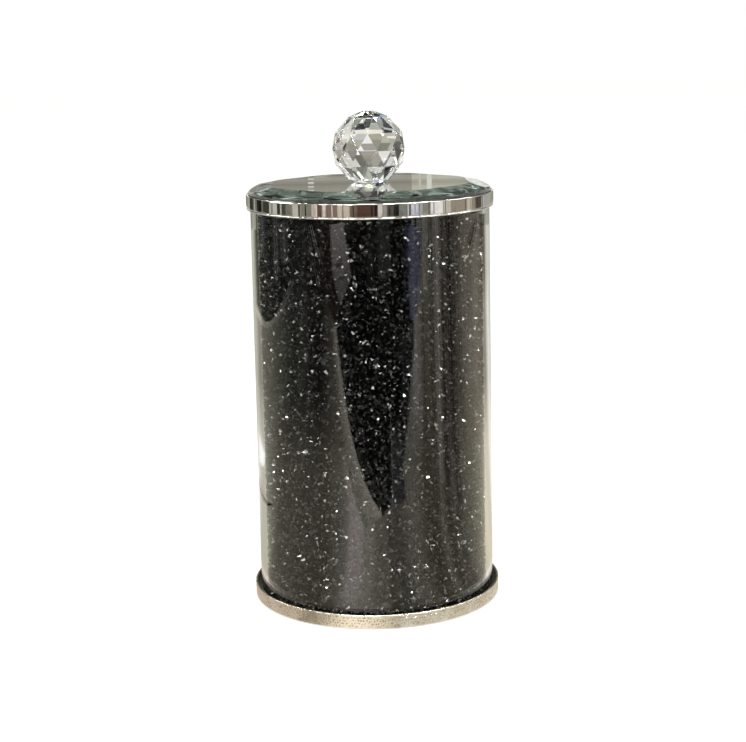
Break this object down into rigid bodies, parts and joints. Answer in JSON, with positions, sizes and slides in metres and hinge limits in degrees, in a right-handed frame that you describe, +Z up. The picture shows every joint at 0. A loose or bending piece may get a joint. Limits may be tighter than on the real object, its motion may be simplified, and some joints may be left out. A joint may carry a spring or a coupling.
{
  "type": "lidded vanity jar",
  "caption": "Tall round vanity jar with a clear outer wall filled with black crushed crystal, a metal base ring and a bevelled glass lid with a cut crystal ball knob.",
  "frame": {"origin": "middle of the underside, on the surface the jar stands on", "axes": "+Z up the jar's axis, from the foot to the knob; X and Y across"},
  "size_m": [0.1016, 0.1016, 0.1995],
  "materials": {
    "foam_black": "matt closed-cell foam",
    "base_ring_metal": "satin, with a finely dotted band",
    "base_disc_plastic": "matt moulded",
    "tube_adhesive": "cured silicone bead",
    "tube_glass": "clear, polished",
    "crystal_chips": "black crushed crystal, glossy chips",
    "liner_plastic": "gloss black moulded",
    "collar_plastic": "gloss black moulded",
    "seal_silicone": "translucent silicone",
    "core_plastic": "matt moulded",
    "lid_ring_chrome": "mirror polished",
    "foam_tape": "white foam tape",
    "mirror_coat": "silvered, painted behind",
    "lid_glass": "clear float glass, polished bevels",
    "knob_adhesive": "clear cured adhesive",
    "knob_crystal": "clear cut crystal, polished facets"
  },
  "bodies": {
    "jar": {"foot_pad": "foam_black", "base_ring": "base_ring_metal", "base_disc": "base_disc_plastic", "tube_bond": "tube_adhesive", "outer_tube": "tube_glass", "crystal_fill": "crystal_chips", "liner_pad": "foam_tape", "inner_liner": "liner_plastic", "top_collar": "collar_plastic"},
    "seal": {"lid_seal": "seal_silicone"},
    "lid": {"lid_core": "core_plastic", "lid_ring": "lid_ring_chrome", "bonding_tape": "foam_tape", "mirror_backing": "mirror_coat", "bevelled_glass": "lid_glass", "knob_bond": "knob_adhesive", "crystal_knob": "knob_crystal"}
  },
  "joints": [
    {"name": "lid_lift", "type": "slide", "parent": "jar", "child": "seal", "axis": [0, 0, 1], "range_m": [0, 0.09]},
    {"name": "lid_turn", "type": "hinge", "parent": "seal", "child": "lid", "pos_m": [0, 0, 0.1627], "axis": [0, 0, 1], "continuous": true}
  ]
}
